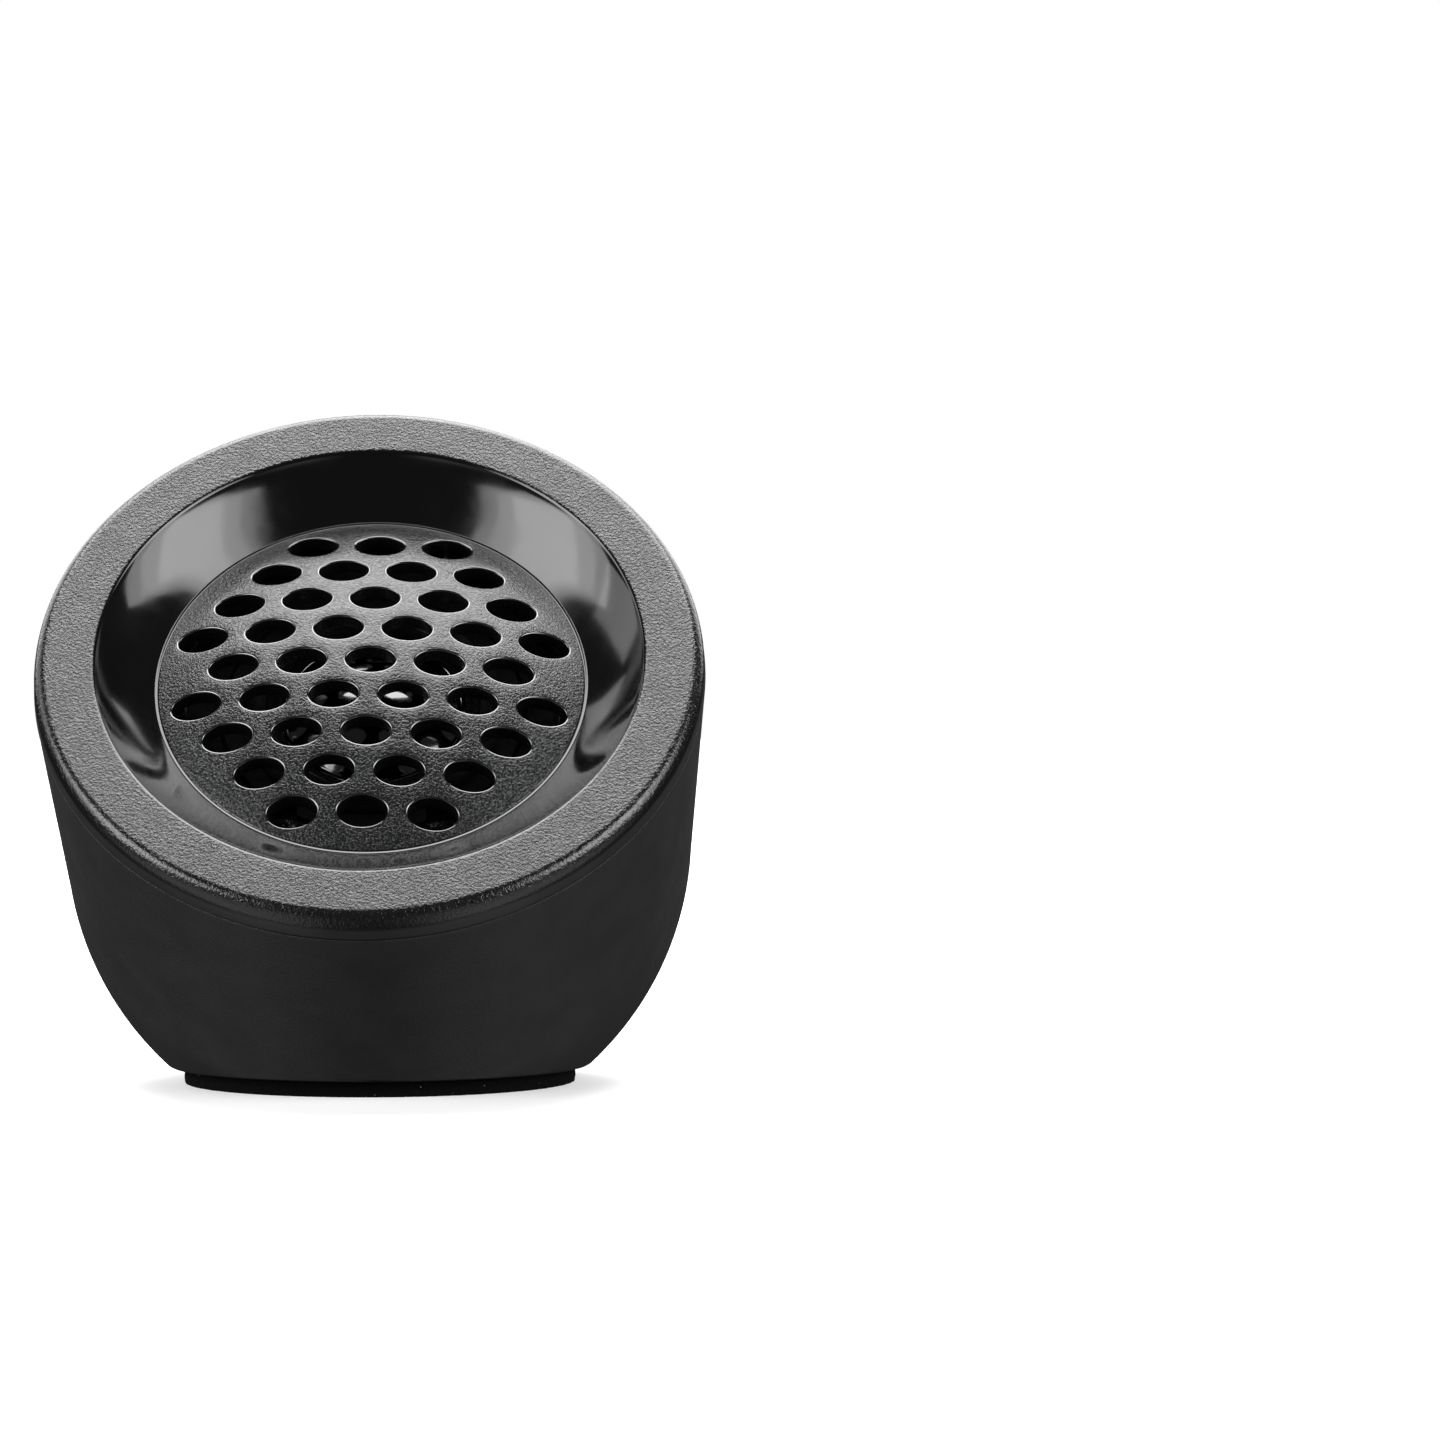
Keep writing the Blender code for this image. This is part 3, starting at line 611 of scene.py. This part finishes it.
def pod_surface(plane, rim_w, inset, steps, rings):
    """Columns of points from the foot edge to the rim, one column for each angle."""
    drop = BALL_CENTRE.z - plane
    columns = []
    for i in range(steps):
        angle = math.tau * i / steps
        low = foot_direction(angle, drop, inset)
        rim_radius = BALL_RADIUS - inset + DRAFT * (BALL_DEPTH + rim_w)
        high = (FACE_AXIS * (BALL_DEPTH + rim_w)
                + (Vector((1, 0, 0)) * math.cos(angle) + UP_SLOPE * math.sin(angle)) * rim_radius).normalized()
        span = low.angle(high)
        column = []
        for k in range(rings + 1):
            t = k / rings
            direction = (low * math.sin((1 - t) * span) + high * math.sin(t * span)) / math.sin(span)
            column.append(BALL_CENTRE + direction * reach(direction, inset))
        columns.append(column)
    return columns


def corner(before, at, after, size, count=4):
    """Points of a small round corner at a sharp edge; before and after are points on its two sides."""
    a = at + (before - at).normalized() * size
    b = at + (after - at).normalized() * size
    steps = [k / count for k in range(count + 1)]
    return [a * (1 - t) ** 2 + at * 2 * t * (1 - t) + b * t ** 2 for t in steps]


def make_pod():
    """Shell: flat foot, ball and drafted wall up to the seam, open inside, with locks and a cable hole."""
    steps = 256
    rim_w = SEAM_W - SEAM_GAP
    outer = pod_surface(FOOT_PLANE, rim_w, 0.0, steps, 84)
    inner = pod_surface(FOOT_PLANE + FLOOR, rim_w, WALL, steps, 24)
    bm = bmesh.new()
    columns = []
    for outside, inside in zip(outer, inner):
        foot_mid = Vector((0, 0, outside[0].z))
        foot = corner(foot_mid, outside[0], outside[1], 0.45 * MM)
        rim = corner(outside[-2], outside[-1], inside[-1], 0.02 * MM)
        floor = [foot_mid + (outside[0] - foot_mid) * part for part in (0.25, 0.6, 0.85)]
        inner_mid = Vector((0, 0, inside[0].z))
        inner_floor = [inner_mid + (inside[0] - inner_mid) * part for part in (0.8, 0.4)]
        columns.append(floor + foot + outside[1:-1] + rim + inside[::-1] + inner_floor)
    rings = [[bm.verts.new(column[k]) for column in columns] for k in range(len(columns[0]))]
    ends = [bm.verts.new((0, 0, FOOT_PLANE)), bm.verts.new((0, 0, FOOT_PLANE + FLOOR))]
    rings = [[ends[0]]] + rings + [[ends[1]]]
    for lower, upper in zip(rings, rings[1:]):
        bridge(bm, lower, upper)
    pod = new_object("pod", bm)

    def gland_hole(bm):
        add_cylinder(bm, Vector((0, 0, BALL_RADIUS)), GLAND_HOLE, 8 * MM, 64)

    def locks(bm):
        for angle in LUG_TURNS:
            add_box(bm, Vector((LOCK_RADIUS, 0, TAB_W)), TAB_SIZE, angle)
            add_box(bm, Vector((LOCK_RADIUS, 0, LUG_W)), STOP_SIZE, angle - STOP_TURN)

    boolean(pod, "DIFFERENCE", gland_hole, GLAND)
    boolean(pod, "UNION", locks)
    smooth(pod, 38)
    pod.data.materials.append(shell_material())
    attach(pod, "pod")
    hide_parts("base_shell")


# The gland's own Z axis points out of the ball, to the rear and 15 degrees down.
GLAND = Matrix.Translation(BALL_CENTRE) @ Matrix.Rotation(math.radians(-15) - math.pi / 2, 4, "X")
GLAND_BORE = 1.6 * MM
GLAND_NECK = 2.95 * MM
GLAND_FLANGE = 4.3 * MM


def make_gland():
    """Rubber gland: domed flange outside, neck in the hole, cone inside, open bore."""
    seat_w = math.sqrt(BALL_RADIUS ** 2 - (2.9 * MM) ** 2) + 0.05 * MM
    edge_w = math.sqrt(BALL_RADIUS ** 2 - GLAND_FLANGE ** 2) + 0.05 * MM
    top_w = BALL_RADIUS + 1.6 * MM
    inside_w = BALL_RADIUS - WALL - 0.35 * MM
    end_w = inside_w - 1.4 * MM
    profile = [(GLAND_BORE, top_w), (2.6 * MM, top_w), (3.6 * MM, top_w - 0.35 * MM),
               (GLAND_FLANGE, edge_w + 0.5 * MM), (GLAND_FLANGE, edge_w), (GLAND_NECK, seat_w),
               (GLAND_NECK, inside_w), (3.9 * MM, inside_w), (3.3 * MM, end_w), (GLAND_BORE, end_w)]
    gland = lathe("gland", rounded(profile, 0.25 * MM), 96, GLAND)
    rubber = plain_material("gland_rubber", (0.012, 0.012, 0.012), 0.6, grain=0.2, depth=0.012)
    gland.data.materials.append(rubber)
    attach(gland, "pod")
    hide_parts("cable_gland")


def make_foam():
    """Die-cut foam disc: slightly uneven cells show on its cut edge."""
    steps, layers = 420, 9
    top = FOOT_PLANE - 0.04 * MM
    bm = bmesh.new()
    rings = [[bm.verts.new((0, 0, 0))]]
    for part in (0.3, 0.6, 0.85, 0.96):
        rings.append(ring_of(bm, FOAM_RADIUS * part, 0.0, steps))
    for layer in range(layers):
        t = layer / (layers - 1)
        bulge = -0.05 * MM * (2 * t - 1) ** 4
        ring = ring_of(bm, FOAM_RADIUS - 0.08 * MM + bulge, t * top, steps)
        for vert in ring:
            out = Vector((vert.co.x, vert.co.y, 0)).normalized()
            vert.co += out * 0.07 * MM * noise.noise(vert.co * 2600.0)
        rings.append(ring)
    for part in (0.9, 0.5):
        rings.append(ring_of(bm, FOAM_RADIUS * part, top, steps))
    rings.append([bm.verts.new((0, 0, top))])
    for lower, upper in zip(rings, rings[1:]):
        bridge(bm, lower, upper)
    foam = new_object("foam_disc", bm, sharp=60)
    foam.data.materials.append(foam_material())
    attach(foam, "pod")
    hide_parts("foam_pad")


def make_diaphragm():
    """Shiny dome with a small glue skirt, and the half-roll surround round it."""
    dome_rise, base, film = 2.0, 6.7, 0.12
    curve = (base ** 2 + dome_rise ** 2) / (2 * dome_rise)
    apex = -7.0 + dome_rise
    outside = [(base * i / 40, cap(base * i / 40, curve, apex)) for i in range(41)]
    skirt = [(6.95, -7.0), (6.95, -7.3), (6.45, -7.3)]
    inside = [(6.45 * i / 20, cap(6.45 * i / 20, curve - film, apex - film)) for i in range(20, -1, -1)]
    profile = [(r * MM, w * MM) for r, w in outside + skirt + inside]
    dome = lathe("dome_film", profile, 160)
    dome.data.materials.append(film_material("dome_foil", (0.08, 0.08, 0.082), 0.08, 1.0))
    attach(dome, "diaphragm")
    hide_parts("dome")

    middle, roll, film = 8.7, 1.2, 0.14
    upper = [(7.02, -7.0)] + arc((middle, -7.0), roll, 180, 0, 20) + [(11.3, -7.0)]
    lower = [(11.3, -7.3)] + arc((middle, -7.0 - film), roll - film, 0, 180, 20) + [(7.02, -7.3)]
    profile = [(r * MM, w * MM) for r, w in upper + lower]
    surround = lathe("surround_roll", profile, 160)
    surround.data.materials.append(matt_material("surround_cloth", 8.0 * MM))
    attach(surround, "head")
    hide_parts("surround")


def make_driver_ring():
    """Matt moulded frame round the diaphragm, with its screw holes and lead slots."""
    points = [(14.2, -6.6), (16.9, -6.6), (16.9, -6.9), (19.8, -6.9), (19.8, -8.2), (12.2, -8.2), (12.2, -12.5),
              (10.2, -12.5), (10.2, -8.3), (8.8, -8.3), (8.8, -7.6), (11.6, -7.6), (11.6, -7.2)]
    profile = rounded([(r * MM, w * MM) for r, w in points], 0.15 * MM, 3)
    ring = lathe("driver_ring", profile, 192)

    def cuts(bm):
        for angle in BOSS_TURNS:
            add_cylinder(bm, Vector((BOSS_PITCH, 0, -7.5 * MM)), PILOT_RADIUS, 3 * MM, 24, angle)
        for angle in (math.radians(-60), math.radians(-120)):
            add_box(bm, Vector((11.2 * MM, 0, -8.75 * MM)), (3 * MM, 0.9 * MM, 1.0 * MM), angle)

    boolean(ring, "DIFFERENCE", cuts)
    smooth(ring)
    ring.data.materials.append(matt_material("driver_moulding", 14.2 * MM))
    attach(ring, "head")
    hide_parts("driver_frame")


# CAD nodes that stay as they are: start of the name, then material name, colour, roughness and metallic.
CARRIED = {
    "seal_gasket": ("gasket_rubber", (0.01, 0.01, 0.01), 0.8, 0.0),
    "coil_former": ("former_foil", (0.75, 0.75, 0.76), 0.3, 1.0),
    "voice_coil": ("coil_copper", (0.68, 0.32, 0.14), 0.3, 1.0),
    "coil_lead": ("lead_copper", (0.68, 0.32, 0.14), 0.3, 1.0),
    "frame_lug": ("lug_brass", (0.78, 0.6, 0.28), 0.32, 1.0),
    "terminal": ("tab_brass", (0.78, 0.6, 0.28), 0.32, 1.0),
    "pole_plate": ("plate_zinc", (0.6, 0.62, 0.64), 0.35, 1.0),
    "magnet_cup": ("cup_zinc", (0.6, 0.62, 0.64), 0.38, 1.0),
    "magnet": ("magnet_nickel", (0.55, 0.54, 0.52), 0.18, 1.0),
    "pole_felt": ("pole_felt", (0.02, 0.02, 0.02), 0.95, 0.0),
    "board_tape": ("board_tape", (0.72, 0.72, 0.69), 0.85, 0.0),
    "crossover_board": ("solder_resist", (0.02, 0.12, 0.05), 0.4, 0.0),
    "capacitor_can": ("can_aluminium", (0.75, 0.75, 0.76), 0.3, 1.0),
    "capacitor_sleeve": ("sleeve_film", (0.015, 0.02, 0.07), 0.3, 0.0),
    "capacitor_lead": ("lead_tin", (0.7, 0.7, 0.68), 0.3, 1.0),
    "jumper_positive": ("insulation_red", (0.4, 0.015, 0.015), 0.45, 0.0),
    "jumper_negative": ("insulation_black", (0.015, 0.015, 0.015), 0.45, 0.0),
    "driver_screw": ("screw_zinc", (0.6, 0.62, 0.64), 0.32, 1.0),
}


def dress_carried_nodes():
    """Give every CAD node that stays on show its own procedural material."""
    for start in sorted(CARRIED, key=len):
        material = plain_material(*CARRIED[start])
        for name, node in NODES.items():
            if name.startswith(start):
                node.data.materials.clear()
                node.data.materials.append(material)


# ---- studio -------------------------------------------------------------------------------------

def make_camera():
    data = bpy.data.cameras.new("camera")
    data.lens = 105.5
    data.sensor_width = 36.0
    data.clip_start = 0.01
    camera = bpy.data.objects.new("camera", data)
    camera.location = Vector((15.47, -331.34, 28.22)) * MM
    camera.rotation_euler = Vector((0.03355, 0.99944, 0.0)).to_track_quat("-Z", "Y").to_euler()
    bpy.context.scene.collection.objects.link(camera)
    bpy.context.scene.camera = camera


def make_floor():
    """Plain pale floor, bright enough to meet the backdrop, that the object doesn't mirror."""
    bm = bmesh.new()
    bmesh.ops.create_grid(bm, x_segments=8, y_segments=8, size=6.0)
    floor = new_object("studio_floor", bm)
    material = bpy.data.materials.new("floor_pale")
    material.use_nodes = True
    sockets = material.node_tree.nodes["Principled BSDF"].inputs
    sockets["Base Color"].default_value = (0.8, 0.8, 0.8, 1.0)
    sockets["Roughness"].default_value = 0.9
    sockets["Emission Color"].default_value = (1.0, 1.0, 1.0, 1.0)
    sockets["Emission Strength"].default_value = 0.35
    floor.data.materials.append(material)
    floor.visible_diffuse = False
    floor.visible_glossy = False


LIGHT_TARGET = Vector((0, -0.01, 0.028))


def area_light(name, azimuth, elevation, distance, size, radiance):
    """Softbox aimed at the tweeter, from an azimuth off the camera side and an elevation, in degrees."""
    data = bpy.data.lights.new(name, "AREA")
    data.shape = "RECTANGLE"
    data.size, data.size_y = size
    data.energy = radiance * math.pi * size[0] * size[1]
    light = bpy.data.objects.new(name, data)
    a, e = math.radians(azimuth), math.radians(elevation)
    direction = Vector((math.cos(e) * math.sin(a), -math.cos(e) * math.cos(a), math.sin(e)))
    light.location = LIGHT_TARGET + direction * distance
    light.rotation_euler = direction.to_track_quat("Z", "Y").to_euler()
    light.visible_camera = False
    bpy.context.scene.collection.objects.link(light)


def make_world():
    """White behind the object; for all it reflects, a dim room with light bounced up from low at the sides."""
    world = bpy.data.worlds.new("studio")
    bpy.context.scene.world = world
    world.use_nodes = True
    tree = world.node_tree

    def ramp(value, low, high, to_low, to_high, kind="SMOOTHSTEP"):
        node = tree.nodes.new("ShaderNodeMapRange")
        node.interpolation_type = kind
        tree.links.new(value, node.inputs["Value"])
        for socket, number in zip(("From Min", "From Max", "To Min", "To Max"), (low, high, to_low, to_high)):
            node.inputs[socket].default_value = number
        return node.outputs["Result"]

    def maths(operation, *values):
        node = tree.nodes.new("ShaderNodeMath")
        node.operation = operation
        for value, socket in zip(values, node.inputs):
            tree.links.new(value, socket)
        return node.outputs[0]

    split = tree.nodes.new("ShaderNodeSeparateXYZ")
    tree.links.new(tree.nodes.new("ShaderNodeTexCoord").outputs["Generated"], split.inputs[0])
    across, depth, height = split.outputs
    at_sides = ramp(maths("ABSOLUTE", across), 0.12, 0.42, 0.0, 0.8)
    in_front = ramp(depth, -0.1, 0.4, 1.0, 0.0)
    below = ramp(height, -0.15, -0.45, 0.0, 1.0)
    bounce = maths("MULTIPLY", maths("MULTIPLY", at_sides, in_front), below)
    level = ramp(depth, -0.1, 0.6, 0.1, 0.03, "LINEAR")

    room = tree.nodes["Background"]
    room.inputs["Color"].default_value = (1, 1, 1, 1)
    tree.links.new(maths("ADD", bounce, level), room.inputs["Strength"])
    backdrop = tree.nodes.new("ShaderNodeBackground")
    backdrop.inputs["Color"].default_value = (1, 1, 1, 1)
    backdrop.inputs["Strength"].default_value = 1.0
    mix = tree.nodes.new("ShaderNodeMixShader")
    tree.links.new(tree.nodes.new("ShaderNodeLightPath").outputs["Is Camera Ray"], mix.inputs[0])
    tree.links.new(room.outputs[0], mix.inputs[1])
    tree.links.new(backdrop.outputs[0], mix.inputs[2])
    tree.links.new(mix.outputs[0], tree.nodes["World Output"].inputs["Surface"])


def make_lights():
    """A wide overhead light, slightly behind the object, and softboxes at both sides and to the rear."""
    data = bpy.data.lights.new("overhead", "SUN")
    data.energy = 6.3
    data.angle = math.radians(56)
    overhead = bpy.data.objects.new("overhead", data)
    overhead.rotation_euler.x = math.radians(-14)
    bpy.context.scene.collection.objects.link(overhead)
    for side, name in ((1, "right"), (-1, "left")):
        area_light(f"softbox_{name}", side * 58.5, 17, 0.9, (0.86, 0.56), 4.0)
        area_light(f"softbox_inner_{name}", side * 57, 17, 0.88, (0.62, 0.5), 2.0)
        area_light(f"softbox_core_{name}", side * 56, 17, 0.86, (0.36, 0.42), 2.5)
    area_light("room_fill_right", 155, 31, 0.9, (0.74, 0.62), 2.7)
    area_light("room_fill_left", -148, 31, 0.9, (0.8, 0.62), 2.4)
    area_light("side_panel_left", -97, 27, 0.9, (0.4, 0.3), 2.2)


bpy.context.scene.view_settings.view_transform = "Standard"
make_camera()
make_floor()
make_world()
make_lights()
make_bezel()
make_grille()
make_pod()
make_gland()
make_foam()
make_diaphragm()
make_driver_ring()
dress_carried_nodes()
